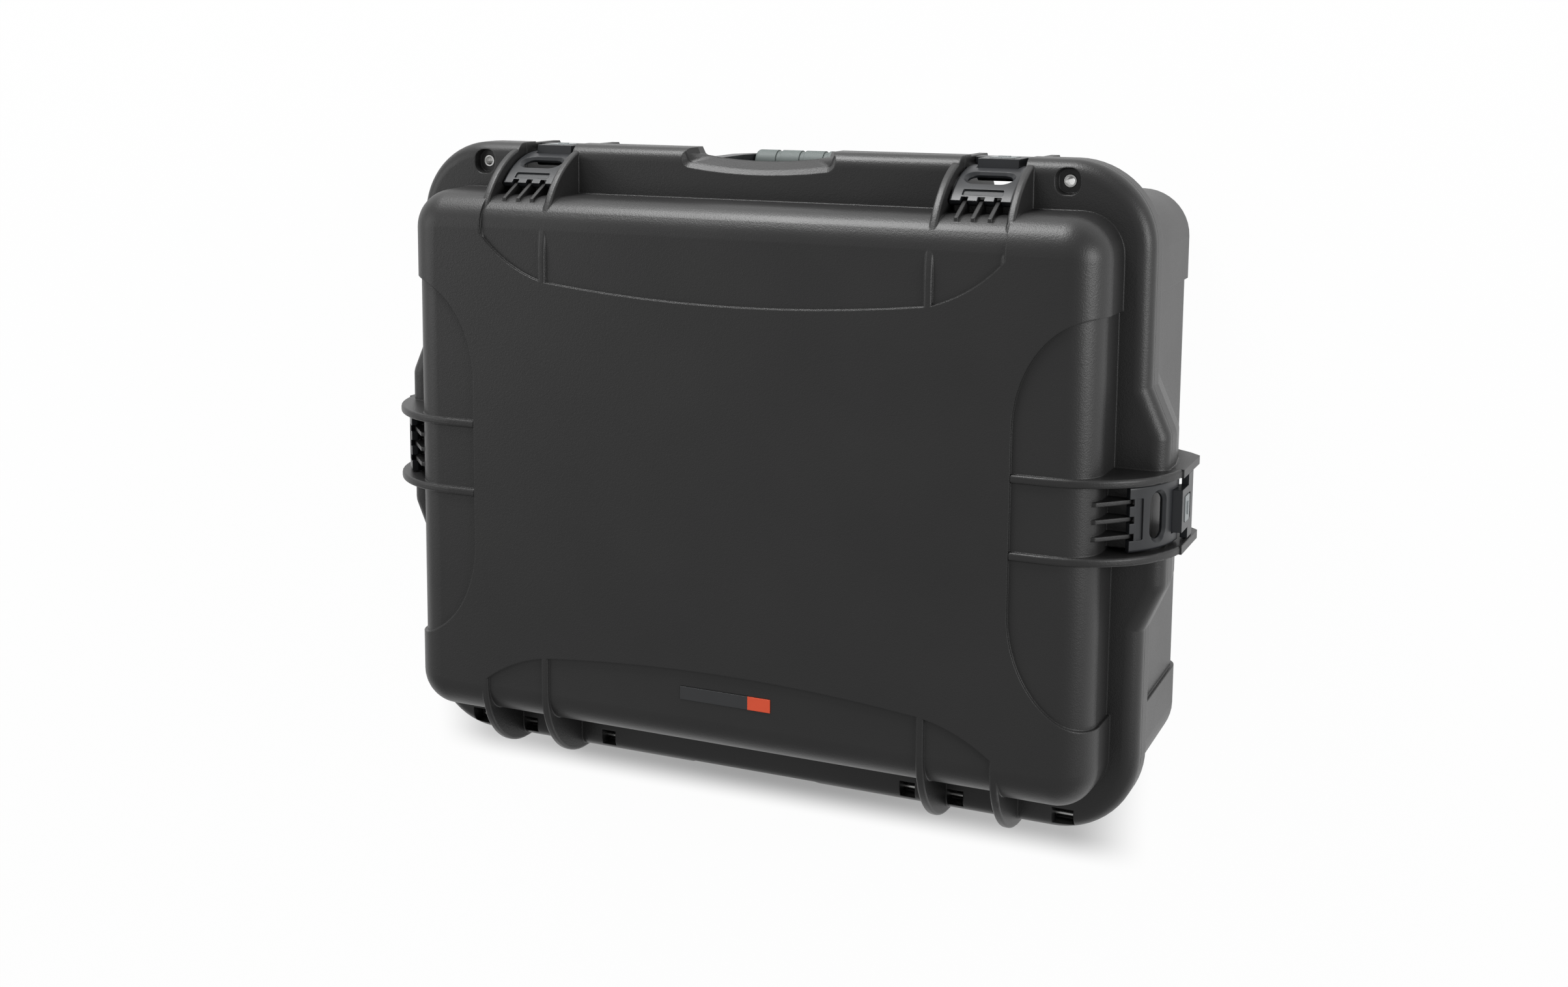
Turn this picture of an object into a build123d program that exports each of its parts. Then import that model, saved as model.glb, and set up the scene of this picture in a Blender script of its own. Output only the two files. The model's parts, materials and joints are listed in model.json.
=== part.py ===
from build123d import *
import os
from math import cos, radians, sin, tan

# Hard case lying on its base, lid up, in millimetres.
# Origin: centre of the outer box at the level of the base's underside.
# +X to the right of someone who faces the handle, +Y from the handle to the hinges, +Z up.

# Outside of the case
parting_z = 156.0  # rim of the base, where the lid closes
lid_depth = 68.0  # parting plane to the face of the lid
lid_gap = 0.3  # daylight between the two rims
flange_height = 14.0  # each rim flange, lid and base alike
flange_half_width = 293.5
flange_half_length = 241.0
flange_back_inset = 2.7  # the fins on the hinge side stand that far out of the flange
flange_corner = 60.0
flange_edge_radius = 11.0
bulge_reach = 14.0  # how far the side bulges stand out of the flange
bulge_half_run = 54.0
bulge_slope_run = 32.0
bulge_corner = 14.0
base_bulge_depth = 38.0  # parting plane to the lower end of the base's bulges
base_bulge_draft = 8.0

# Bodies of the lid and the base
lid_inset = 19.5  # flange edge to lid wall at the sides
lid_front_inset = 34.5  # flange edge to lid wall at the handle side
lid_back_inset = 33.5
lid_corner = 30.0
edge_radius = 27.0  # big rounding between face and walls
recess_depth = 2.5  # step between the raised fields and the recessed ones
draft = 1.0
base_inset = 6.5
base_front_inset = 28.0
base_back_inset = 21.5
base_corner = 36.0
base_edge_radius = 20.0
base_draft = 0.5
base_inner_radius = 12.0
wall = 3.5
inner_edge_radius = 18.0

# Recessed fields in the face and the walls
side_field_centre = 4.0
side_field_reach = 61.0  # from the lid's wall towards the middle
side_field_straight = 64.0
side_field_half_length = 143.0
base_field_half_length = 150.0
front_field_tip = 100.0  # distance of the field's ends from the flange edge
front_field_bow = 9.5
back_field_tip = 90.0
back_field_bow = 8.5
front_bay_field = 66.0
back_bay_field = 65.0

# Ribs beside latches and hinges
rib_thickness = 6.0
rib_spacing = 54.0  # centre to centre, within a pair
rib_radius = 80.0
hinge_rib_radius = 62.0
rib_root = 104.0
rib_edge_radius = 1.8
rib_set_back = 1.0
rib_stand_out = 10.0  # of the side latches' fins, past the bulge
pair_centre = 179.0
base_rib_drop = 52.0
base_rib_foot = 80.0
back_foot_drop = 18.0  # parting plane to the top of the hinge side's lower fins
back_foot_bottom = 26.0

# Latch, seen along the rim: s outwards from the fins' edge, z up
bay_depth = 22.0
latch_side_gap = 1.0
claw_inset = 7.0  # from the fins' edge to the claw's outside
claw_radius = 71.0
claw_thickness = 4.0
claw_edge_radius = 2.0
claw_hook_angle = 46.0
claw_inner_angle = 40.0
lip_reach = 5.5
lip_height = 4.6
catch_inset = 27.3
catch_height = 30.0  # above the parting plane
catch_depth = 22.0
catch_half_width = 22.0
fin_pitch = 12.0
fin_thickness = 3.0
fin_slot = 5.0
fin_set_back = 1.0
fin_tip_drop = 13.0  # face to the fins' upper ends
fin_tip_run = 4.5  # from the lid's wall
claw_slot_length = 32.0
claw_slot_width = 14.0
claw_slot_angle = 25.0
claw_bevel_width = 3.6
claw_band_length = 29.0
claw_band_width = 6.0
claw_band_depth = 1.4
claw_band_angle = 39.5
lever_pivot_inset = 13.7
lever_pivot_drop = 4.0  # below the parting plane, as the other drops
claw_pivot_inset = 10.2
claw_pivot_drop = 13.0
claw_knuckle_radius = 3.2
claw_middle_rise = 1.5
lever_knuckle_radius = 4.0
lever_pin_radius = 2.0
claw_pin_radius = 1.5
pin_fit = 0.05
stem_half_width = 15.0
knuckle_side_gap = 0.4
lever_outer = -1.8
lever_thickness = 5.0
lever_wide_drop = 21.0
lever_end_drop = 47.0
window_half_width = 9.5
window_drop = 9.0
window_height = 18.4
window_corner = 2.0
button_gap = 0.3
button_height = 13.4
button_proud = 0.5
button_ridge = 2.4
button_back_thickness = 1.2
button_back_overlap = 1.5
pocket_drop = 7.8
pocket_side_gap = 0.3

# Hinges
hinge_inset = 11.0  # from the edge of the fins
hinge_pin_radius = 2.5
hinge_knuckle_radius = 5.5
hinge_half_length = 68.0
hinge_bay_gap = 1.5
hinge_end_gap = 0.4
hinge_relief = 7.0
hinge_window_front = 8.5  # from the hinge's axis towards the lid
hinge_window_back = 3.5
hinge_window_depth = 13.5
hinge_windows = ((119.0, 131.0), (155.5, 168.0), (190.0, 202.5), (234.0, 250.0))
base_knuckle_width = 14.0
base_knuckle_step = 40.0

# Padlock bushings
bushing_side_inset = 60.5
bushing_inset = 15.0
bushing_radius = 4.4
bushing_bore = 3.2
pocket_width = 18.0
pocket_length = 19.0
pocket_corner = 7.5
pocket_depth = 7.0
pocket_draft = 8.0

# Scoops in the rim
scoop_half_width = 60.0
scoop_depth = 18.4
scoop_bow = 4.5
scoop_flare = 12.0
scoop_corner = 8.0
scoop_bevel_height = 4.0
scoop_bevel = 42.0
scoop_taper = 32.0
base_scoop_depth = 10.5
base_scoop_half_width = 54.0
base_scoop_corner = 4.0
back_scoop_half_width = 50.0
back_scoop_depth = 5.5
back_scoop_flare = 12.0

# Seal
seal_side_inset = 10.5
seal_front_inset = 28.5
seal_back_inset = 23.5
seal_corner = 36.0
groove_width = 4.4
groove_depth = 5.0
seal_width = 4.0
seal_height = 3.5
tongue_width = 2.4
tongue_height = 1.2

# Handle
handle_pivot_inset = 16.0
handle_pivot_drop = 25.0
handle_reach = 78.0
handle_half_width = 61.0
handle_bar = 12.0
grip_half_length = 50.0
grip_radius = 9.5
grip_groove_depth = 1.0
handle_pin_radius = 3.0
handle_barrel_radius = 7.0
ear_thickness = 6.0
ear_gap = 0.4
ear_radius = 7.0

# Pressure valve and plate
valve_x = 108.0
valve_z = 78.0
valve_radius = 13.0
valve_proud = 4.0
valve_thread_radius = 8.0
valve_nut_radius = 12.0
valve_nut_height = 5.0
plate_half_length = 36.5
plate_width = 10.0
plate_inset = 80.0
plate_thickness = 1.2
plate_block_length = 18.0
plate_pocket = 0.6

lid_bottom = parting_z + lid_gap
flange_top = parting_z + flange_height
flange_bottom = parting_z - flange_height
top_z = parting_z + lid_depth
bulge_half_width = flange_half_width + bulge_reach
side_latch_x = bulge_half_width + rib_stand_out
flange_back = flange_half_length - flange_back_inset
lid_half_width = flange_half_width - lid_inset
base_half_width = flange_half_width - base_inset
seal_half_width = flange_half_width - seal_side_inset
bushing_x = flange_half_width - bushing_side_inset
side_field_inner = lid_half_width - side_field_reach
hinge_y = flange_half_length - hinge_inset
window_front_y = hinge_y - hinge_window_front
window_back_y = hinge_y + hinge_window_back
handle_pivot_y = -flange_half_length + handle_pivot_inset
handle_pivot_z = parting_z - handle_pivot_drop
plate_y = flange_half_length - plate_inset
back_foot_top = parting_z - back_foot_drop
catch_outer = -catch_inset
catch_top = parting_z + catch_height
catch_bottom = catch_top - catch_depth
lever_pivot_s = -lever_pivot_inset
lever_pivot_z = parting_z - lever_pivot_drop
claw_pivot_s = -claw_pivot_inset
claw_pivot_z = parting_z - claw_pivot_drop
claw_middle_bottom = parting_z + claw_middle_rise
lever_wide_top = parting_z - lever_wide_drop
lever_end_bottom = parting_z - lever_end_drop
window_top = parting_z - window_drop
window_bottom = window_top - window_height
pocket_top = parting_z - pocket_drop
pocket_edge = window_half_width + button_back_overlap + pocket_side_gap
claw_arc_s = -claw_inset - claw_radius
claw_arc_z = top_z - rib_radius
bay_half_width = rib_spacing / 2 - rib_thickness / 2
latch_half_width = bay_half_width - latch_side_gap
lid_front = -flange_half_length + lid_front_inset
lid_back = flange_half_length - lid_back_inset
base_front = -flange_half_length + base_front_inset
base_back = flange_half_length - base_back_inset
seal_front = -flange_half_length + seal_front_inset
seal_back = flange_half_length - seal_back_inset
valve_inner_y = -flange_half_length + base_front_inset + recess_depth + wall + 1.8
seal_top = lid_bottom + groove_depth
through = 400.0

os.makedirs("parts", exist_ok=True)


def save(part, name):
    """Labels a finished piece and writes its file."""
    part.label = name
    export_step(part, f"parts/{name}.step")


def rim_plane(x, y, outward):
    """Plane across the rim: its x runs outwards, its y runs up, its z runs along the rim."""
    out = Vector(*outward)
    return Plane(origin=(x, y, 0), x_dir=out, z_dir=out.cross(Vector(0, 0, 1)))


FRONT = (0, -1, 0)
BACK = (0, 1, 0)
LEFT = (-1, 0, 0)
RIGHT = (1, 0, 0)

latch_frames = {
    "front_left": rim_plane(-pair_centre, -flange_half_length, FRONT),
    "front_right": rim_plane(pair_centre, -flange_half_length, FRONT),
    "left": rim_plane(-side_latch_x, 0, LEFT),
    "right": rim_plane(side_latch_x, 0, RIGHT),
}
hinge_rib_y = flange_half_length + rib_set_back
hinge_frames = [rim_plane(side * pair_centre, hinge_rib_y, BACK) for side in (-1, 1)]
pair_offsets = (-rib_spacing / 2, rib_spacing / 2)


def body_outline(half_width, front, back, corner, shrink=0.0):
    """Rounded rectangle of a shell wall, as a sketch in the current plane."""
    with Locations((0, (front + back) / 2)):
        RectangleRounded(2 * (half_width - shrink), back - front - 2 * shrink, corner - shrink)


def flange_outline(level, back_edge):
    """Rim outline with the two side bulges; back_edge trims the hinge side."""
    root_y = bulge_half_run + 2 * bulge_slope_run
    with BuildSketch(Plane.XY.offset(level)) as outline:
        body_outline(flange_half_width, -flange_half_length, flange_back, flange_corner)
        for side in (-1, 1):
            root_x = side * (flange_half_width - bulge_reach)
            edge_x = side * bulge_half_width
            with BuildLine():
                FilletPolyline(
                    (root_x, root_y),
                    (edge_x, bulge_half_run),
                    (edge_x, -bulge_half_run),
                    (root_x, -root_y),
                    radius=bulge_corner,
                )
                Line((root_x, -root_y), (root_x, root_y))
            make_face()
        with Locations((0, back_edge + through / 2)):
            Rectangle(4 * through, through, mode=Mode.SUBTRACT)
    return outline.sketch


def raised_fields(level, half_length):
    """Plan of the raised middle and corners: everything but the recessed fields."""
    inner_rib = pair_centre - rib_spacing / 2
    outer_rib = pair_centre + rib_spacing / 2
    with BuildSketch(Plane.XY.offset(level)) as fields:
        Rectangle(4 * through, 4 * through)
        for side in (-1, 1):
            with Locations((side * (side_field_inner + through / 2), side_field_centre)):
                Rectangle(through, 2 * side_field_straight, mode=Mode.SUBTRACT)
            with Locations((side * (lid_half_width + through / 2), side_field_centre)):
                Rectangle(through, 2 * half_length, mode=Mode.SUBTRACT)
            for end in (-1, 1):
                with Locations((side * lid_half_width, side_field_centre + end * side_field_straight)):
                    Ellipse(
                        lid_half_width - side_field_inner,
                        half_length - side_field_straight,
                        mode=Mode.SUBTRACT,
                    )
        for end, tip, bow, bay in (
            (-1, front_field_tip, front_field_bow, front_bay_field),
            (1, back_field_tip, back_field_bow, back_bay_field),
        ):
            edge = end * (flange_half_length - tip)
            bay_edge = end * (flange_half_length - bay)
            far = end * through
            with BuildLine():
                ThreePointArc((-inner_rib, edge), (0, edge - end * bow), (inner_rib, edge))
                Polyline((inner_rib, edge), (inner_rib, far), (-inner_rib, far), (-inner_rib, edge))
            make_face(mode=Mode.SUBTRACT)
            for side in (-1, 1):
                with BuildLine():
                    ThreePointArc(
                        (side * inner_rib, edge),
                        (side * pair_centre, (2 * edge + bay_edge) / 3),
                        (side * outer_rib, bay_edge),
                    )
                    Polyline(
                        (side * outer_rib, bay_edge),
                        (side * outer_rib, far),
                        (side * inner_rib, far),
                        (side * inner_rib, edge),
                    )
                make_face(mode=Mode.SUBTRACT)
    return fields.sketch


def lid_rib(frame, radius):
    """One fin of the lid: level with the face, then a quarter round down to the rim."""
    arc_s = -rib_set_back - radius
    arc_z = top_z - radius
    low = arc_z - rib_thickness
    with BuildPart() as rib:
        with BuildSketch(frame):
            with BuildLine():
                Polyline((arc_s, top_z), (-rib_root, top_z), (-rib_root, low))
                Polyline((-rib_root, low), (-rib_set_back, low), (-rib_set_back, arc_z))
                CenterArc((arc_s, arc_z), radius, 0, 90)
            make_face()
        extrude(amount=rib_thickness / 2, both=True)
        ridge = [e for e in rib.edges().filter_by(GeomType.CIRCLE) if e.radius > radius / 2]
        fillet(ridge, rib_edge_radius)
        split(bisect_by=Plane.XY.offset(lid_bottom), keep=Keep.TOP)
    return rib.part


def lid_flange():
    """The lid's rim flange with its rounded upper edge."""
    with BuildPart() as flange:
        extrude(flange_outline(lid_bottom, flange_back), amount=flange_height - lid_gap)
        fillet(flange.faces().sort_by(Axis.Z)[-1].outer_wire().edges(), flange_edge_radius)
    return flange.part


def raised_lid():
    """Full-size body of the lid, kept only where its fields are raised."""
    with BuildPart() as body:
        with BuildSketch(Plane.XY.offset(lid_bottom)):
            body_outline(lid_half_width, lid_front, lid_back, lid_corner)
        extrude(amount=top_z - lid_bottom, taper=draft)
        fillet(body.faces().sort_by(Axis.Z)[-1].edges(), edge_radius)
        extrude(raised_fields(lid_bottom, side_field_half_length), amount=through, mode=Mode.INTERSECT)
    return body.part


def catch_block(frame, reach):
    """Block on the lid that a claw hooks over, with the fins in front of it."""
    with BuildPart() as block:
        with BuildSketch(frame):
            Polygon(
                (-reach, catch_bottom),
                (catch_outer, catch_bottom),
                (catch_outer, catch_top - 6),
                (catch_outer - 3, catch_top),
                (-reach, catch_top),
                align=None,
            )
        extrude(amount=catch_half_width, both=True)
        for step in (-1, 0, 1):
            with BuildSketch(frame.offset(step * fin_pitch)):
                Polygon(
                    (-reach - 8, catch_top - 1),
                    (catch_outer - fin_set_back, catch_top - 1),
                    (catch_outer - fin_set_back, catch_top + 4),
                    (-reach + edge_radius / 2 - fin_tip_run, top_z - fin_tip_drop),
                    (-reach - 8, top_z - fin_tip_drop),
                    align=None,
                )
            extrude(amount=fin_thickness / 2, both=True)
    return block.part


def build_lid_shell():
    """Lid: body, flange, fins and catches, hollowed, with bays, windows, pockets and scoops cut."""
    with BuildPart() as lid:
        with BuildSketch(Plane.XY.offset(lid_bottom)):
            body_outline(lid_half_width, lid_front, lid_back, lid_corner, recess_depth)
        extrude(amount=top_z - recess_depth - lid_bottom, taper=draft)
        fillet(lid.faces().sort_by(Axis.Z)[-1].edges(), edge_radius - recess_depth)
        add(raised_lid())
        add(lid_flange())
        for frame in latch_frames.values():
            add(rim_bay(frame, flange_bottom), mode=Mode.SUBTRACT)
        for name, frame in latch_frames.items():
            reach = lid_front_inset if name.startswith("front") else side_latch_x - lid_half_width
            add(catch_block(frame, reach + edge_radius / 2))
            for offset in pair_offsets:
                add(lid_rib(frame.offset(offset), rib_radius))
        for frame in hinge_frames:
            for offset in pair_offsets:
                add(lid_rib(frame.offset(offset), hinge_rib_radius))
        add(front_scoop(), mode=Mode.SUBTRACT)
        add(back_scoop(), mode=Mode.SUBTRACT)
        for side in (-1, 1):
            add(corner_pocket(side), mode=Mode.SUBTRACT)
        for low, high in base_knuckle_spans():
            add(hinge_bay(low, high), mode=Mode.SUBTRACT)
        for low, high in lid_knuckle_spans():
            add(knuckle(low, high, 1))
        for near, far in window_spans():
            add(hinge_window(near, far), mode=Mode.SUBTRACT)
        for frame in hinge_frames:
            add(x_bar(frame.origin.X, hinge_half_length, hinge_pin_radius + pin_fit), mode=Mode.SUBTRACT)
        add(lid_cavity(), mode=Mode.SUBTRACT)
        add(seal_ring(groove_width, lid_bottom, lid_bottom + groove_depth), mode=Mode.SUBTRACT)
        with BuildSketch(Plane.XY.offset(top_z - recess_depth)):
            with Locations((0, plate_y)):
                Rectangle(2 * plate_half_length, plate_width)
        extrude(amount=-plate_pocket, mode=Mode.SUBTRACT)
    return lid.part


def lid_cavity():
    """Hollow of the lid."""
    with BuildPart() as cavity:
        with BuildSketch(Plane.XY.offset(lid_bottom)):
            body_outline(lid_half_width, lid_front, lid_back, lid_corner, recess_depth + wall)
        extrude(amount=lid_depth - recess_depth - wall - lid_gap, taper=draft)
        fillet(cavity.faces().sort_by(Axis.Z)[-1].edges(), inner_edge_radius)
    return cavity.part


def base_cavity():
    """Hollow of the base."""
    with BuildPart() as cavity:
        with BuildSketch(Plane.XY.offset(parting_z)):
            body_outline(base_half_width, base_front, base_back, base_corner, recess_depth + wall)
        extrude(amount=-parting_z + recess_depth + wall, taper=base_draft)
        fillet(cavity.faces().sort_by(Axis.Z)[0].edges(), base_inner_radius)
    return cavity.part


def rim_bay(frame, level):
    """Cut that takes the rim back between a pair of fins."""
    with BuildPart() as bay:
        with BuildSketch(frame):
            with Locations((through / 2 - bay_depth, level)):
                Rectangle(through, through)
        extrude(amount=bay_half_width, both=True)
    return bay.part


def scoop_outline(level, half, depth, corner):
    """Shallow curved bite out of the edge of the handle side, with round corners."""
    edge = -flange_half_length
    inner = edge + depth
    with BuildSketch(Plane.XY.offset(level)) as bite:
        with BuildLine():
            ThreePointArc((-half, inner - scoop_bow), (0, inner), (half, inner - scoop_bow))
            Polyline(
                (half, inner - scoop_bow),
                (half + scoop_flare, edge - scoop_depth),
                (-half - scoop_flare, edge - scoop_depth),
                (-half, inner - scoop_bow),
            )
        make_face()
        fillet(bite.vertices().group_by(Axis.Y)[-1], corner)
    return bite.sketch


def front_scoop():
    """Finger scoop in the handle side of the lid's rim: a steep bevel, then a slanted lip."""
    shrink = scoop_bevel_height * tan(radians(scoop_bevel))
    low = flange_top - scoop_bevel_height
    outer = scoop_outline(flange_top, scoop_half_width, scoop_depth, scoop_corner)
    inner = scoop_outline(low, scoop_half_width - shrink, scoop_depth - shrink, scoop_corner - shrink)
    with BuildPart() as scoop:
        extrude(outer, amount=-scoop_bevel_height, taper=scoop_bevel)
        extrude(inner, amount=lid_bottom - 1 - low, taper=scoop_taper)
    return scoop.part


def base_scoop():
    """Straight bite under the lid's scoop, for the fingers that reach for the handle."""
    bite = scoop_outline(parting_z, base_scoop_half_width, base_scoop_depth, base_scoop_corner)
    with BuildPart() as scoop:
        extrude(bite, amount=-flange_height - 1)
    return scoop.part


def back_scoop():
    """Shallow scoop in the middle of the hinge side of the lid's rim."""
    edge = flange_half_length
    with BuildPart() as scoop:
        with BuildSketch(Plane.XY.offset(lid_bottom)):
            Polygon(
                (-back_scoop_half_width, edge - back_scoop_depth),
                (back_scoop_half_width, edge - back_scoop_depth),
                (back_scoop_half_width + 2 * back_scoop_flare, edge + back_scoop_depth),
                (-back_scoop_half_width - 2 * back_scoop_flare, edge + back_scoop_depth),
                align=None,
            )
        extrude(amount=flange_height)
    return scoop.part


def corner_pocket(side):
    """Drafted pocket in a corner of the lid's rim, and the bushing's bore in its floor."""
    y = -flange_half_length + bushing_inset
    with BuildPart() as pocket:
        with BuildSketch(Plane.XY.offset(flange_top)):
            with Locations((side * bushing_x, y)):
                RectangleRounded(pocket_width, pocket_length, pocket_corner)
        extrude(amount=-pocket_depth, taper=pocket_draft)
        with BuildSketch(Plane.XY.offset(lid_bottom)):
            with Locations((side * bushing_x, y)):
                Circle(bushing_radius)
        extrude(amount=flange_height - pocket_depth)
    return pocket.part


def base_knuckle_spans():
    """Stretches along X of the hinges that belong to the base."""
    spans = []
    for side in (-1, 1):
        for step in (-1, 0, 1):
            low = side * pair_centre + step * base_knuckle_step - base_knuckle_width / 2
            spans.append((low, low + base_knuckle_width))
    return spans


def lid_knuckle_spans():
    """Stretches along X of the hinges that belong to the lid: what the base leaves."""
    spans = []
    for side in (-1, 1):
        low = side * pair_centre - hinge_half_length
        for start, end in base_knuckle_spans():
            if start * side > 0:
                spans.append((low, start - hinge_end_gap))
                low = end + hinge_end_gap
        spans.append((low, side * pair_centre + hinge_half_length))
    return spans


def window_spans():
    """Stretches along X of the windows that show the pins, between the fins and beside them."""
    spans = []
    for side in (-1, 1):
        for near, far in hinge_windows:
            spans.append(tuple(sorted((side * near, side * far))))
    return spans


def hinge_bay(low, high):
    """Room in the lid's rim for one of the base's knuckles."""
    with BuildPart() as bay:
        with BuildSketch(Plane.YZ.offset(low - hinge_end_gap)):
            with Locations((hinge_y, parting_z)):
                Circle(hinge_knuckle_radius + hinge_bay_gap)
        extrude(amount=high - low + 2 * hinge_end_gap)
    return bay.part


def hinge_window(near, far):
    """Window in the top of the lid's rim over a hinge pin."""
    with BuildPart() as window:
        with BuildSketch(Plane.XY.offset(flange_top)):
            with Locations(((near + far) / 2, (window_front_y + window_back_y) / 2)):
                Rectangle(far - near, window_back_y - window_front_y)
        extrude(amount=-hinge_window_depth)
    return window.part


def knuckle(low, high, side):
    """Knuckle round the hinge axis with its stem; side is 1 for the lid's, -1 for the base's."""
    with BuildPart() as body:
        with BuildSketch(Plane.YZ.offset(low)):
            with Locations((hinge_y, parting_z)):
                Circle(hinge_knuckle_radius)
            if side < 0:
                with Locations((hinge_y - hinge_knuckle_radius, parting_z - hinge_knuckle_radius / 2)):
                    Rectangle(2 * hinge_knuckle_radius, hinge_knuckle_radius)
            else:
                with Locations((hinge_y, parting_z + hinge_knuckle_radius / 2)):
                    Rectangle(2 * hinge_knuckle_radius, hinge_knuckle_radius)
        extrude(amount=high - low)
    return body.part


def x_bar(middle, half_length, radius):
    """Round bar along X on the hinge axis."""
    return x_cylinder(middle - half_length, middle + half_length, hinge_y, parting_z, radius)


def seal_ring(width, low, high):
    """Rounded-rectangle ring round the rim: the seal, its groove and the tongue."""
    grow = width / 2
    with BuildPart() as ring:
        with BuildSketch(Plane.XY.offset(low)):
            body_outline(seal_half_width, seal_front, seal_back, seal_corner, -grow)
            with Locations((0, (seal_front + seal_back) / 2)):
                RectangleRounded(
                    2 * (seal_half_width - grow),
                    seal_back - seal_front - 2 * grow,
                    seal_corner - grow,
                    mode=Mode.SUBTRACT,
                )
        extrude(amount=high - low)
    return ring.part


def raised_base():
    """Full-size body of the base, kept only where its fields are raised."""
    with BuildPart() as body:
        with BuildSketch(Plane.XY.offset(flange_bottom)):
            body_outline(base_half_width, base_front, base_back, base_corner)
        extrude(amount=-flange_bottom, taper=base_draft)
        fillet(body.faces().sort_by(Axis.Z)[0].edges(), base_edge_radius)
        extrude(raised_fields(0, base_field_half_length), amount=through, mode=Mode.INTERSECT)
    return body.part


def base_bulge(side):
    """Deep part of a side bulge, below the base's rim flange."""
    root_x = side * (flange_half_width - bulge_reach)
    edge_x = side * bulge_half_width
    root_y = bulge_half_run + 2 * bulge_slope_run
    with BuildPart() as bulge:
        with BuildSketch(Plane.XY.offset(flange_bottom)):
            with BuildLine():
                FilletPolyline(
                    (root_x, root_y),
                    (edge_x, bulge_half_run),
                    (edge_x, -bulge_half_run),
                    (root_x, -root_y),
                    radius=bulge_corner,
                )
                Line((root_x, -root_y), (root_x, root_y))
            make_face()
        extrude(amount=flange_height - base_bulge_depth, taper=base_bulge_draft)
    return bulge.part


def base_rib(frame):
    """One fin of the base beside a latch, running out into the wall."""
    with BuildPart() as rib:
        with BuildSketch(frame):
            Polygon(
                (-rib_set_back, parting_z),
                (-rib_set_back, parting_z - base_rib_drop),
                (-rib_set_back - 8, parting_z - base_rib_drop - 8),
                (-bay_depth - 16, parting_z - base_rib_foot),
                (-bay_depth - 26, parting_z - base_rib_foot),
                (-bay_depth - 26, parting_z),
                align=None,
            )
        extrude(amount=rib_thickness / 2, both=True)
    return rib.part


def back_foot(frame):
    """One fin on the hinge side of the base, which the case stands on when it is upright."""
    with BuildPart() as foot:
        with BuildSketch(frame):
            Polygon(
                (-base_back_inset - 8, back_foot_top + 2),
                (-base_back_inset, back_foot_top + 2),
                (-rib_set_back - 6, back_foot_top),
                (-rib_set_back, back_foot_top - 6),
                (-rib_set_back, back_foot_bottom + 6),
                (-rib_set_back - 6, back_foot_bottom),
                (-base_back_inset - 10, back_foot_bottom - 4),
                align=None,
            )
        extrude(amount=rib_thickness / 2, both=True)
    return foot.part


def ear_spans():
    """Where the handle's ears stand along X, on the right-hand side of the case."""
    inner = handle_half_width - handle_bar / 2 - ear_gap
    outer = handle_half_width + handle_bar / 2 + ear_gap
    return ((inner - ear_thickness, inner), (outer, outer + ear_thickness))


def handle_ear(low, high):
    """One ear that carries a handle pin."""
    with BuildPart() as ear:
        with BuildSketch(Plane.YZ.offset(low)):
            with Locations((handle_pivot_y, handle_pivot_z)):
                Circle(ear_radius)
            with Locations(((handle_pivot_y + base_front + 6) / 2, handle_pivot_z + 3)):
                Rectangle(base_front + 6 - handle_pivot_y, 2 * ear_radius + 6)
        extrude(amount=high - low)
    return ear.part


def build_base_shell():
    """Base: body, flange, fins, feet, ears and knuckles, hollowed, with bays and bores cut."""
    with BuildPart() as base:
        with BuildSketch(Plane.XY.offset(flange_bottom)):
            body_outline(base_half_width, base_front, base_back, base_corner, recess_depth)
        extrude(amount=-flange_bottom + recess_depth, taper=base_draft)
        fillet(base.faces().sort_by(Axis.Z)[0].edges(), base_edge_radius - recess_depth)
        add(raised_base())
        extrude(flange_outline(flange_bottom, hinge_y - hinge_relief), amount=flange_height)
        for side in (-1, 1):
            add(base_bulge(side))
        for frame in latch_frames.values():
            add(rim_bay(frame, parting_z), mode=Mode.SUBTRACT)
            for offset in pair_offsets:
                add(base_rib(frame.offset(offset)))
            bore_half = bay_half_width + rib_thickness / 2
            add(rim_pin(frame, lever_pivot_s, lever_pivot_z, lever_pin_radius, bore_half), mode=Mode.SUBTRACT)
        for frame in hinge_frames:
            for offset in pair_offsets:
                add(back_foot(frame.offset(offset)))
        add(base_scoop(), mode=Mode.SUBTRACT)
        for low, high in base_knuckle_spans():
            add(knuckle(low, high, -1))
        for frame in hinge_frames:
            add(x_bar(frame.origin.X, hinge_half_length, hinge_pin_radius), mode=Mode.SUBTRACT)
        for side in (-1, 1):
            for near, far in ear_spans():
                add(handle_ear(*sorted((side * near, side * far))))
            low, high = sorted((side * ear_spans()[0][0], side * ear_spans()[1][1]))
            bar = x_cylinder(low, high, handle_pivot_y, handle_pivot_z, handle_pin_radius)
            add(bar, mode=Mode.SUBTRACT)
            with BuildSketch(Plane.XY.offset(flange_bottom)):
                with Locations((side * bushing_x, -flange_half_length + bushing_inset)):
                    Circle(bushing_radius)
            extrude(amount=flange_height, mode=Mode.SUBTRACT)
        with BuildSketch(Plane.XZ.offset(-base_front)):
            with Locations((valve_x, valve_z)):
                Circle(valve_radius + 2)
        extrude(amount=-8)
        add(base_cavity(), mode=Mode.SUBTRACT)
        add(seal_ring(tongue_width, parting_z, parting_z + tongue_height))
        with BuildSketch(Plane.XZ.offset(-base_front)):
            with Locations((valve_x, valve_z)):
                Circle(valve_thread_radius)
        extrude(amount=-30, mode=Mode.SUBTRACT)
    return base.part


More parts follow.
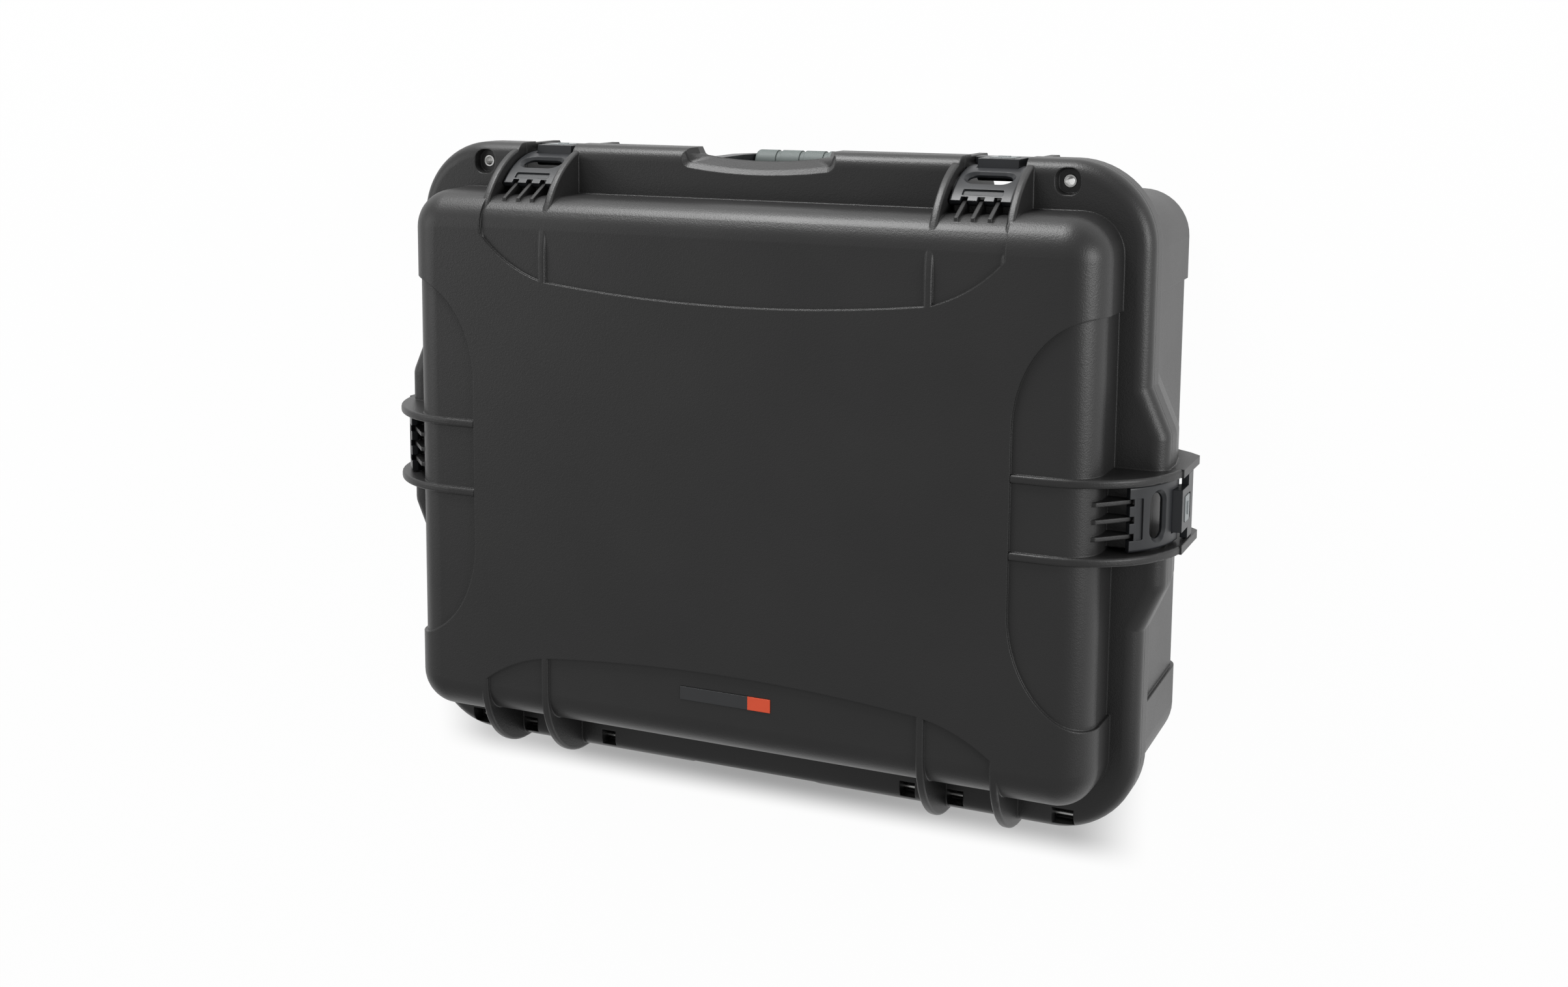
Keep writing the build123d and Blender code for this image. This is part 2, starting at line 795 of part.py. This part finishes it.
def build_lever(frame):
    """Latch lever: stem with both pivots, the lock's window and the wide end."""
    inner = lever_outer - lever_thickness
    with BuildPart() as lever:
        with BuildSketch(frame):
            Polygon(
                (lever_outer, lever_pivot_z + 2.5),
                (lever_pivot_s, lever_pivot_z + lever_knuckle_radius),
                (lever_pivot_s - lever_knuckle_radius, lever_pivot_z),
                (claw_pivot_s - claw_knuckle_radius, claw_pivot_z - claw_knuckle_radius),
                (inner, lever_wide_top - 1),
                (lever_outer, lever_wide_top - 1),
                align=None,
            )
            with Locations((lever_pivot_s, lever_pivot_z)):
                Circle(lever_knuckle_radius)
        extrude(amount=stem_half_width, both=True)
        with BuildSketch(frame):
            Polygon(
                (lever_outer, lever_wide_top),
                (lever_outer, lever_end_bottom + 12),
                (lever_outer - 1.5, lever_end_bottom + 4),
                (lever_outer - 5, lever_end_bottom),
                (lever_outer - 9, lever_end_bottom + 1),
                (inner - 1, lever_end_bottom + 9),
                (inner, lever_end_bottom + 14),
                (inner, lever_wide_top),
                align=None,
            )
        extrude(amount=latch_half_width, both=True)
        with BuildSketch(frame):
            with Locations((inner - lever_thickness, (pocket_top + lever_end_bottom) / 2 + 6)):
                Rectangle(2 * lever_thickness, pocket_top - lever_end_bottom - 12)
        extrude(amount=pocket_edge, both=True, mode=Mode.SUBTRACT)
        with BuildSketch(face_plane(frame, lever_outer)):
            with Locations((0, (window_top + window_bottom) / 2)):
                RectangleRounded(2 * window_half_width, window_top - window_bottom, window_corner)
        extrude(amount=-lever_thickness - 1, mode=Mode.SUBTRACT)
        with BuildSketch(frame):
            with Locations((lever_pivot_s, lever_pivot_z)):
                Circle(lever_pin_radius + pin_fit)
            with Locations((claw_pivot_s, claw_pivot_z)):
                Circle(claw_pin_radius)
        extrude(amount=through, both=True, mode=Mode.SUBTRACT)
    return lever.part


def face_plane(frame, s):
    """Plane across the outward direction at s: its y runs up, its z outwards."""
    up = Vector(0, 0, 1)
    return Plane(origin=frame.from_local_coords((s, 0, 0)), x_dir=up.cross(frame.x_dir), z_dir=frame.x_dir)


def arc_point(radius, angle):
    """Point on an arc about the centre that fins and claws share."""
    return (claw_arc_s + radius * cos(radians(angle)), claw_arc_z + radius * sin(radians(angle)))


def arc_plane(frame, angle):
    """Plane that touches the claw's outside at an angle: x along the rim, z outwards."""
    s, z = arc_point(claw_radius, angle)
    out = frame.x_dir * cos(radians(angle)) + Vector(0, 0, 1) * sin(radians(angle))
    return Plane(origin=frame.from_local_coords((s, z, 0)), x_dir=frame.z_dir, z_dir=out)


def build_claw(frame):
    """Claw: curved plate with its slot, the hooked lip and two knuckles on the lever's pins."""
    inner_radius = claw_radius - claw_thickness
    outer_s = claw_arc_s + claw_radius
    with BuildPart() as claw:
        with BuildSketch(frame):
            with BuildLine():
                CenterArc((claw_arc_s, claw_arc_z), claw_radius, 0, claw_hook_angle)
                Polyline(
                    arc_point(claw_radius, claw_hook_angle),
                    (catch_outer - lip_reach + 1, catch_top + lip_height + 1),
                    (catch_outer - lip_reach, catch_top + 1),
                    (catch_outer, catch_top + 0.6),
                    arc_point(inner_radius, claw_inner_angle),
                )
                CenterArc((claw_arc_s, claw_arc_z), inner_radius, 0, claw_inner_angle)
                Polyline(
                    (outer_s - claw_thickness, claw_arc_z),
                    (outer_s - claw_thickness, claw_pivot_z),
                    (outer_s, claw_pivot_z),
                    (outer_s, claw_arc_z),
                )
            make_face()
            with Locations((claw_pivot_s, claw_pivot_z)):
                Circle(claw_knuckle_radius)
        extrude(amount=latch_half_width, both=True)
        curve = [e for e in claw.edges().filter_by(GeomType.CIRCLE) if abs(e.radius - claw_radius) < 0.1]
        fillet(curve, claw_edge_radius)
        with BuildSketch(frame):
            with Locations((claw_pivot_s, claw_middle_bottom - 20)):
                Rectangle(40, 40)
        extrude(amount=stem_half_width + knuckle_side_gap, both=True, mode=Mode.SUBTRACT)
        for step in (-1, 0, 1):
            with BuildSketch(frame.offset(step * fin_pitch)):
                with Locations((catch_outer - lip_reach, catch_top + 5)):
                    Rectangle(2 * lip_reach + 2, 2 * lip_reach)
            extrude(amount=fin_slot / 2, both=True, mode=Mode.SUBTRACT)
        slot_plane = arc_plane(frame, claw_slot_angle)
        with BuildSketch(slot_plane):
            SlotOverall(claw_slot_length, claw_slot_width)
        extrude(amount=3 * claw_thickness, both=True, mode=Mode.SUBTRACT)
        with BuildSketch(slot_plane.offset(1)):
            SlotOverall(claw_slot_length + 2 * claw_bevel_width, claw_slot_width + 2 * claw_bevel_width)
        extrude(amount=-claw_thickness, taper=45, mode=Mode.SUBTRACT)
        with BuildSketch(arc_plane(frame, claw_band_angle).offset(-claw_band_depth)):
            RectangleRounded(claw_band_length, claw_band_width, 1)
        extrude(amount=3 * claw_band_depth, mode=Mode.SUBTRACT)
        with BuildSketch(frame):
            with Locations((claw_pivot_s, claw_pivot_z)):
                Circle(claw_pin_radius + pin_fit)
        extrude(amount=through, both=True, mode=Mode.SUBTRACT)
    return claw.part


def build_button(frame):
    """Lock slider: pad in the lever's window, and a wider plate behind it that keeps it in."""
    middle = window_top - button_gap - button_height / 2
    pad_depth = button_proud + lever_thickness + button_gap + button_back_thickness
    face = face_plane(frame, lever_outer + button_proud)
    with BuildPart() as button:
        with BuildSketch(face):
            with Locations((0, middle)):
                RectangleRounded(
                    2 * (window_half_width - button_gap), button_height, window_corner - button_gap
                )
        extrude(amount=-pad_depth)
        with BuildSketch(face):
            with Locations((0, middle)):
                SlotOverall(window_half_width, button_ridge)
        extrude(amount=button_ridge / 3)
        with BuildSketch(face.offset(-pad_depth)):
            with Locations((0, middle - 1)):
                Rectangle(2 * (window_half_width + button_back_overlap), button_height - 1)
        extrude(amount=button_back_thickness)
    return button.part


def rim_pin(frame, s, z, radius, half_length):
    """Round pin along the rim."""
    with BuildPart() as pin:
        with BuildSketch(frame):
            with Locations((s, z)):
                Circle(radius)
        extrude(amount=half_length, both=True)
    return pin.part


def claw_pin(frame, side):
    """Short pin from one side of the lever's stem through the claw's knuckle."""
    length = latch_half_width - 0.4 - pocket_edge
    middle = side * (pocket_edge + length / 2)
    return rim_pin(frame.offset(middle), claw_pivot_s, claw_pivot_z, claw_pin_radius, length / 2)


def x_cylinder(low, high, y, z, radius):
    """Round bar along X."""
    with BuildPart() as bar:
        with BuildSketch(Plane.YZ.offset(low)):
            with Locations((y, z)):
                Circle(radius)
        extrude(amount=high - low)
    return bar.part


def build_handle_frame():
    """D-shaped frame: two barrels on the pins, two arms and the core of the grip."""
    bar_z = handle_pivot_z - handle_reach
    core = grip_radius - 4
    with BuildPart() as frame:
        add(x_cylinder(-grip_half_length - 8, grip_half_length + 8, handle_pivot_y, bar_z, core))
        for side in (-1, 1):
            low = side * handle_half_width - handle_bar / 2
            add(x_cylinder(low, low + handle_bar, handle_pivot_y, handle_pivot_z, handle_barrel_radius))
            with BuildSketch(Plane.XZ.offset(-handle_pivot_y)):
                with BuildLine():
                    FilletPolyline(
                        (side * (handle_half_width - handle_bar / 2), handle_pivot_z),
                        (side * (handle_half_width - handle_bar / 2), bar_z + core + 14),
                        (side * (grip_half_length + 1), bar_z + core),
                        (side * (grip_half_length + 1), bar_z - core),
                        (side * (handle_half_width - 4), bar_z - core),
                        (side * (handle_half_width + handle_bar / 2), bar_z + core + 6),
                        (side * (handle_half_width + handle_bar / 2), handle_pivot_z),
                        radius=3,
                    )
                    Line(
                        (side * (handle_half_width + handle_bar / 2), handle_pivot_z),
                        (side * (handle_half_width - handle_bar / 2), handle_pivot_z),
                    )
                make_face()
            extrude(amount=handle_bar / 2, both=True)
        with BuildSketch(Plane.YZ):
            with Locations((handle_pivot_y, handle_pivot_z)):
                Circle(handle_pin_radius + pin_fit)
        extrude(amount=through, both=True, mode=Mode.SUBTRACT)
    return frame.part


def build_handle_grip():
    """Soft sleeve round the core, with shallow finger grooves."""
    bar_z = handle_pivot_z - handle_reach
    with BuildPart() as grip:
        add(x_cylinder(-grip_half_length, grip_half_length, handle_pivot_y, bar_z, grip_radius))
        fillet(grip.edges().filter_by(GeomType.CIRCLE), 3)
        with BuildSketch(Plane.YZ):
            with Locations((handle_pivot_y, bar_z)):
                Circle(grip_radius - 4)
        extrude(amount=through, both=True, mode=Mode.SUBTRACT)
        for step in (-1.5, -0.5, 0.5, 1.5):
            with BuildSketch(Plane.YZ.offset(step * 20 - 2)):
                with Locations((handle_pivot_y, bar_z)):
                    Circle(grip_radius + 2)
                    Circle(grip_radius - grip_groove_depth, mode=Mode.SUBTRACT)
            extrude(amount=4, mode=Mode.SUBTRACT)
    return grip.part


def build_bushing(x, low, high):
    """Stainless bushing for a padlock's shackle."""
    with BuildPart() as bushing:
        with BuildSketch(Plane.XY.offset(low)):
            with Locations((x, -flange_half_length + bushing_inset)):
                Circle(bushing_radius)
                Circle(bushing_bore, mode=Mode.SUBTRACT)
        extrude(amount=high - low)
    return bushing.part


def build_valve():
    """Valve cap outside the wall with its threaded neck through it."""
    with BuildPart() as valve:
        with BuildSketch(Plane.XZ.offset(-base_front)):
            with Locations((valve_x, valve_z)):
                Circle(valve_radius)
        extrude(amount=valve_proud)
        fillet(valve.faces().sort_by(Axis.Y)[0].edges(), 1.5)
        with BuildSketch(Plane.XZ.offset(-base_front)):
            with Locations((valve_x, valve_z)):
                Circle(valve_thread_radius)
        extrude(amount=base_front - valve_inner_y - valve_nut_height - 2)
    return valve.part


def build_valve_nut():
    """Hexagonal nut on the neck, inside the wall."""
    with BuildPart() as nut:
        with BuildSketch(Plane.XZ.offset(-valve_inner_y)):
            with Locations((valve_x, valve_z)):
                RegularPolygon(valve_nut_radius, 6)
                Circle(valve_thread_radius, mode=Mode.SUBTRACT)
        extrude(amount=-valve_nut_height)
    return nut.part


def plate_part(low_x, high_x):
    """A stretch of the plate on the lid."""
    with BuildPart() as plate:
        with BuildSketch(Plane.XY.offset(top_z - recess_depth - plate_pocket)):
            with Locations(((low_x + high_x) / 2, plate_y)):
                Rectangle(high_x - low_x, plate_width)
        extrude(amount=plate_thickness)
    return plate.part


save(build_lid_shell(), "lid_shell")
save(build_base_shell(), "base_shell")
save(seal_ring(seal_width, seal_top - seal_height, seal_top), "gasket")
for side, frame in zip(("left", "right"), hinge_frames):
    save(x_bar(frame.origin.X, hinge_half_length, hinge_pin_radius), f"hinge_pin_{side}")
for place, frame in latch_frames.items():
    save(build_lever(frame), f"lever_{place}")
    save(build_claw(frame), f"claw_{place}")
    save(build_button(frame), f"lock_button_{place}")
    half_length = bay_half_width + rib_thickness / 2
    save(rim_pin(frame, lever_pivot_s, lever_pivot_z, lever_pin_radius, half_length), f"lever_pin_{place}")
    save(claw_pin(frame, -1), f"claw_pin_{place}_a")
    save(claw_pin(frame, 1), f"claw_pin_{place}_b")
save(build_handle_frame(), "handle_frame")
save(build_handle_grip(), "handle_grip")
for name, side in (("left", -1), ("right", 1)):
    low, high = sorted((side * ear_spans()[0][0], side * ear_spans()[1][1]))
    save(x_cylinder(low, high, handle_pivot_y, handle_pivot_z, handle_pin_radius), f"handle_pin_{name}")
    x = side * bushing_x
    save(build_bushing(x, lid_bottom, flange_top - pocket_depth + 0.4), f"padlock_bushing_lid_{name}")
    save(build_bushing(x, flange_bottom, parting_z), f"padlock_bushing_base_{name}")
save(plate_part(plate_block_length - plate_half_length, plate_half_length), "name_plate")
save(plate_part(-plate_half_length, plate_block_length - plate_half_length), "name_plate_block")
save(build_valve(), "valve_body")
save(build_valve_nut(), "valve_nut")
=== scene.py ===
# %% [markdown]
# # A hard case, dressed in Blender
# The case is already built as a set of solids with real sizes. This notebook loads them as a fixed
# frame, sets up the camera, gives every piece its finish and lights the case in a plain studio. It
# adds no shapes. Lengths are in metres, and +Z is up with the case lying on its base.

# %% Load the frame
import bpy
import json
from math import cos, sin
from mathutils import Matrix, Vector

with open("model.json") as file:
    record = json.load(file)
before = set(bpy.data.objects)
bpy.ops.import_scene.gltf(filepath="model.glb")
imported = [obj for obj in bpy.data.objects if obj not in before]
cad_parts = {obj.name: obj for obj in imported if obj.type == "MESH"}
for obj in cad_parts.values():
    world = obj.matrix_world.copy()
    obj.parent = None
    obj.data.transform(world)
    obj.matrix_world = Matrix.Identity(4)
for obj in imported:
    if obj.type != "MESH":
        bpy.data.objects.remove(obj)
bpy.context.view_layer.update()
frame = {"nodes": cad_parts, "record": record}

MM = 0.001

# %% [markdown]
# ## The camera
# The photograph looks at the lid from about 1.5 m away, with the handle side at the top of the
# frame. The case was photographed standing on its hinge side, so the camera's up direction is the
# case's -Y. The upright lines of the photograph stay almost parallel, as in a picture that was
# shifted or cropped. A part of that shift is kept: more of it would push the case out of the frame
# in the views from other sides.

# %% Place the camera
IMAGE_WIDTH = 2408  # pixels
IMAGE_HEIGHT = 1516
CAMERA_PLACE = Vector((-584.8, -323.9, 1487.4)) * MM
CAMERA_TURN = 0.44098  # radians, about the case's Y axis
CAMERA_TILT = 0.13811  # radians, downwards in the picture
CAMERA_ROLL = 0.00331  # radians, about the lens axis
FOCAL_PIXELS = 3013.7
CENTRE_COLUMN = 1091.0  # where the lens axis meets the picture, in pixels
CENTRE_ROW = 474.0
SENSOR = 36.0  # width in millimetres
SIGHT = 20  # how far the camera sees

forward = Vector((
    sin(CAMERA_TURN) * cos(CAMERA_TILT),
    sin(CAMERA_TILT),
    -cos(CAMERA_TURN) * cos(CAMERA_TILT),
))
level = Vector((-cos(CAMERA_TURN), 0, -sin(CAMERA_TURN)))
across = cos(CAMERA_ROLL) * level + sin(CAMERA_ROLL) * level.cross(forward)
upward = across.cross(forward)
facing = Matrix((across, upward, -forward)).transposed().to_4x4()

camera_data = bpy.data.cameras.new("camera")
camera = bpy.data.objects.new("camera", camera_data)
bpy.context.collection.objects.link(camera)
camera.matrix_world = Matrix.Translation(CAMERA_PLACE) @ facing
camera_data.sensor_width = SENSOR
camera_data.lens = FOCAL_PIXELS * SENSOR / IMAGE_WIDTH
camera_data.shift_x = (IMAGE_WIDTH / 2 - CENTRE_COLUMN) / IMAGE_WIDTH
camera_data.shift_y = (CENTRE_ROW - IMAGE_HEIGHT / 2) / IMAGE_WIDTH
camera_data.clip_end = SIGHT
bpy.context.scene.camera = camera
print("lens:", round(camera_data.lens, 1))
print("shift:", round(camera_data.shift_x, 3), round(camera_data.shift_y, 3))

# %% [markdown]
# ## Shader maths as Python
# A material is easier to read as a formula than as a list of links. The small class below wraps a
# node's output, so that `1 - mask` or `a * b + c` adds the Math nodes by itself.


# %% A socket that can be used in formulas
class Value:
    """A number that changes over the surface: wraps a node's output and adds Math nodes."""

    def __init__(self, book, socket):
        self.book = book
        self.socket = socket

    def maths(self, operation, *values):
        return self.book.node("ShaderNodeMath", {"operation": operation}, *values)

    def __add__(self, other):
        return self.maths("ADD", self, other)

    def __sub__(self, other):
        return self.maths("SUBTRACT", self, other)

    def __rsub__(self, other):
        return self.maths("SUBTRACT", other, self)

    def __mul__(self, other):
        return self.maths("MULTIPLY", self, other)

    def magnitude(self):
        """The number without its sign."""
        return self.maths("ABSOLUTE", self)


class Book:
    """The node tree of one material, with one method that adds any node."""

    def __init__(self, name):
        self.material = bpy.data.materials.new(name)
        self.material.use_nodes = True
        self.tree = self.material.node_tree
        self.shader = self.tree.nodes["Principled BSDF"]
        self.place = self.node("ShaderNodeTexCoord", {}, output="Object")

    def node(self, kind, settings, *values, output=0, **named):
        """Adds a node: its settings, then its inputs in their order, then others by name."""
        node = self.tree.nodes.new(kind)
        for key, value in settings.items():
            setattr(node, key, value)
        for key, value in list(enumerate(values)) + list(named.items()):
            self.put(node, key, value)
        return Value(self, node.outputs[output])

    def put(self, node, key, value):
        """Links a Value to an input, or sets the input to a plain number or colour."""
        socket = node.inputs[key]
        if isinstance(value, Value):
            self.tree.links.new(value.socket, socket)
        elif socket.type == "RGBA" and len(value) == 3:
            socket.default_value = (*value, 1)
        else:
            socket.default_value = value

    def noise(self, size, detail=2.0):
        """Soft noise whose lumps are about that many metres across."""
        return self.node("ShaderNodeTexNoise", {}, Vector=self.place, Scale=1 / size, Detail=detail)

    def cells(self, size):
        """Distance to the nearest of scattered points, for pebbles and grains."""
        return self.node("ShaderNodeTexVoronoi", {}, Vector=self.place, Scale=1 / size)

    def mix(self, factor, first, second):
        """Colour that runs from first to second."""
        node = self.tree.nodes.new("ShaderNodeMix")
        node.data_type = "RGBA"
        # A Mix node has inputs for each type of data, and its two colours are inputs 6 and 7.
        for socket, value in ((0, factor), (6, first), (7, second)):
            self.put(node, socket, value)
        return Value(self, node.outputs[2])

    def soft_edges(self, radius):
        """Normal that shades sharp edges and inside corners as small roundings."""
        return self.node("ShaderNodeBevel", {"samples": 6}, Radius=radius)

    def bump(self, height, distance, strength, over):
        """Relief of that depth in metres, laid over another normal."""
        return self.node(
            "ShaderNodeBump", {}, Strength=strength, Distance=distance, Height=height, Normal=over
        )

    def finish(self, **inputs):
        """Sets the shader's inputs and gives the material."""
        for key, value in inputs.items():
            self.put(self.shader, key.replace("_", " "), value)
        return self.material


# %% [markdown]
# ## The plastic of the shells
# The shells are moulded in a black plastic with a fine pebbled texture, which spreads the studio
# light into a soft dark grey. The pebbles are half a millimetre to a millimetre across, so they are
# made as bump and not as mesh.

# %% Pebbled black plastic
ROUGHNESS_SPREAD = 0.08  # how much rougher the roughest places of a plastic are


def shell_plastic():
    book = Book("pebbled_black_plastic")
    pebbles = book.cells(size=1.0 * MM)
    fine = book.noise(size=0.45 * MM, detail=3)
    cloud = book.noise(size=70 * MM, detail=3)
    ripple = book.noise(size=2.2 * MM, detail=2)
    edges = book.soft_edges(radius=1.4 * MM)
    height = pebbles * 0.7 + fine * 0.5 + ripple * 0.9
    return book.finish(
        Base_Color=book.mix(cloud, (0.0150, 0.0150, 0.0152), (0.0195, 0.0193, 0.0192)),
        Roughness=cloud * ROUGHNESS_SPREAD + 0.37,
        Normal=book.bump(height, distance=0.10 * MM, strength=0.8, over=edges),
    )


# %% [markdown]
# ## The other materials
# The latches, the grip, the seal and the plates are smoother plastics and rubbers, which differ in
# colour and roughness. The pins and bushings are stainless steel.

# %% Smooth plastics, rubber and steel
COLOUR_SPREAD = 0.08  # how far a plastic's colour strays to both sides


def plain_plastic(name, colour, roughness):
    book = Book(name)
    cloud = book.noise(size=20 * MM, detail=3)
    grain = book.noise(size=0.5 * MM, detail=2)
    edges = book.soft_edges(radius=0.7 * MM)
    darker = tuple((1 - COLOUR_SPREAD) * part for part in colour)
    lighter = tuple((1 + COLOUR_SPREAD) * part for part in colour)
    return book.finish(
        Base_Color=book.mix(cloud, darker, lighter),
        Roughness=cloud * ROUGHNESS_SPREAD + roughness,
        Normal=book.bump(grain, distance=0.03 * MM, strength=0.5, over=edges),
    )


def brushed_steel():
    book = Book("stainless_steel")
    cloud = book.noise(size=4 * MM, detail=4)
    grain = book.noise(size=0.3 * MM)
    edges = book.soft_edges(radius=0.3 * MM)
    return book.finish(
        Base_Color=book.mix(cloud, (0.60, 0.60, 0.59), (0.72, 0.72, 0.71)),
        Metallic=1.0,
        Roughness=cloud * 0.15 + 0.18,
        Normal=book.bump(grain, distance=0.01 * MM, strength=0.4, over=edges),
    )


finishes = {
    "shell_plastic": shell_plastic(),
    "latch_plastic": plain_plastic("latch_plastic", (0.0160, 0.0175, 0.0200), 0.33),
    "lock_plastic": plain_plastic("grey_plastic", (0.22, 0.24, 0.245), 0.38),
    "grip_rubber": plain_plastic("grip_rubber", (0.115, 0.135, 0.130), 0.55),
    "stainless_steel": brushed_steel(),
    "seal_rubber": plain_plastic("seal_rubber", (0.03, 0.03, 0.03), 0.6),
    "plate_dark": plain_plastic("plate_dark", (0.030, 0.031, 0.033), 0.38),
    "plate_red": plain_plastic("plate_red", (0.74, 0.085, 0.030), 0.45),
}
slots = {part["node"]: part["material_slot"] for part in frame["record"]["subparts"]}
for name, node in frame["nodes"].items():
    node.data.materials.clear()
    node.data.materials.append(finishes[slots[name]])
print("finishes:", len(finishes))

# %% [markdown]
# ## The floor
# To the camera, and in reflections, nearly all of the pale floor's colour is plain white, so that
# the background stays white without more light on the case. In a strip along the hinge side that
# white is taken away, so the floor shows its own lit shade there. This makes a painted shadow
# strip, darker by place even where no lamp's shadow falls, and the case's real soft shadow shows
# inside it and nowhere else, as in the photograph.

# %% Floor with a painted strip of shadow
FLOOR_SIZE = 12
BACKGROUND_SHARE = 0.97  # of the floor's look that is plain white to the camera
SHADOW_START = (0.16, 0.26)  # along Y, where the shadow begins to show, under the case
SHADOW_END = (0.310, 0.337)  # along Y, where it fades out, just past the hinge side
SHADOW_MIDDLE = 0.065  # along X
SHADOW_REACH = (0.265, 0.335)  # from that middle, where it fades out to both sides
WHITE = (1, 1, 1, 1)

bpy.ops.mesh.primitive_plane_add(size=FLOOR_SIZE, location=(0, 0, 0))
floor = bpy.context.object
floor.name = "floor"
floor_book = Book("floor")
floor_tree = floor_book.tree
floor.data.materials.append(floor_book.finish(Base_Color=(0.82, 0.82, 0.82), Roughness=0.8))


def seen_directly(book):
    """1 for rays that show the background: from the camera, in a mirror or through glass."""
    total = book.node("ShaderNodeLightPath", {}, output="Is Camera Ray")
    for ray in ("Is Glossy Ray", "Is Transmission Ray"):
        total = total.maths("MAXIMUM", total, book.node("ShaderNodeLightPath", {}, output=ray))
    return total


def rising(distance, limits):
    """0 below the first limit, 1 above the second, and a soft step between them."""
    soft_step = {"interpolation_type": "SMOOTHSTEP"}
    return floor_book.node("ShaderNodeMapRange", soft_step, distance, *limits)


along_x = floor_book.node("ShaderNodeSeparateXYZ", {}, floor_book.place, output=0)
along_y = floor_book.node("ShaderNodeSeparateXYZ", {}, floor_book.place, output=1)
# Painted shadow strip: where this mask is 1, the floor loses its white and shows its own lit shade,
# darker by place, with the case's real cast shadow inside it.
behind = rising(along_y, SHADOW_START) * (1 - rising(along_y, SHADOW_END))
shadow = behind * (1 - rising((along_x - SHADOW_MIDDLE).magnitude(), SHADOW_REACH))
share = seen_directly(floor_book) * BACKGROUND_SHARE * (1 - shadow)

glow = floor_tree.nodes.new("ShaderNodeEmission")
glow.inputs["Color"].default_value = WHITE
blend = floor_tree.nodes.new("ShaderNodeMixShader")
floor_tree.links.new(share.socket, blend.inputs[0])
floor_tree.links.new(floor_book.shader.outputs[0], blend.inputs[1])
floor_tree.links.new(glow.outputs[0], blend.inputs[2])
floor_tree.links.new(blend.outputs[0], floor_tree.nodes["Material Output"].inputs[0])

# %% [markdown]
# ## The light
# The world is white to the camera and lights the case with less than half of that. A large lamp
# above the handle side draws the bright line along the lid's rounding, as in the photograph, a
# second one at the right of the picture draws the upright one, and a weak one fills the left.

# %% World
WORLD_LIGHT = 0.42

world = bpy.data.worlds.new("world")
bpy.context.scene.world = world
world.use_nodes = True
background = world.node_tree.nodes["Background"]
background.inputs["Color"].default_value = WHITE
strength = world.node_tree.nodes.new("ShaderNodeMapRange")
strength.inputs["To Min"].default_value = WORLD_LIGHT
strength.inputs["To Max"].default_value = 1.0
camera_rays = world.node_tree.nodes.new("ShaderNodeLightPath")
world.node_tree.links.new(camera_rays.outputs["Is Camera Ray"], strength.inputs["Value"])
world.node_tree.links.new(strength.outputs[0], background.inputs["Strength"])

# %% Lamps
CASE_MIDDLE = Vector((0, 0, 0.12))


def area_lamp(name, place, width, watts):
    """Large square lamp that faces the middle of the case."""
    data = bpy.data.lights.new(name, "AREA")
    data.shape = "SQUARE"
    data.size = width
    data.energy = watts
    lamp = bpy.data.objects.new(name, data)
    bpy.context.collection.objects.link(lamp)
    lamp.location = place
    lamp.rotation_euler = (CASE_MIDDLE - Vector(place)).to_track_quat("-Z", "Y").to_euler()


area_lamp("above_handle", place=(0.55, -1.9, 0.6), width=0.9, watts=40)
area_lamp("right_of_picture", place=(-1.9, -0.35, 0.9), width=0.9, watts=19)
area_lamp("left_of_picture", place=(1.8, -0.3, 1.3), width=1.2, watts=8)

bpy.context.scene.view_settings.view_transform = "Standard"
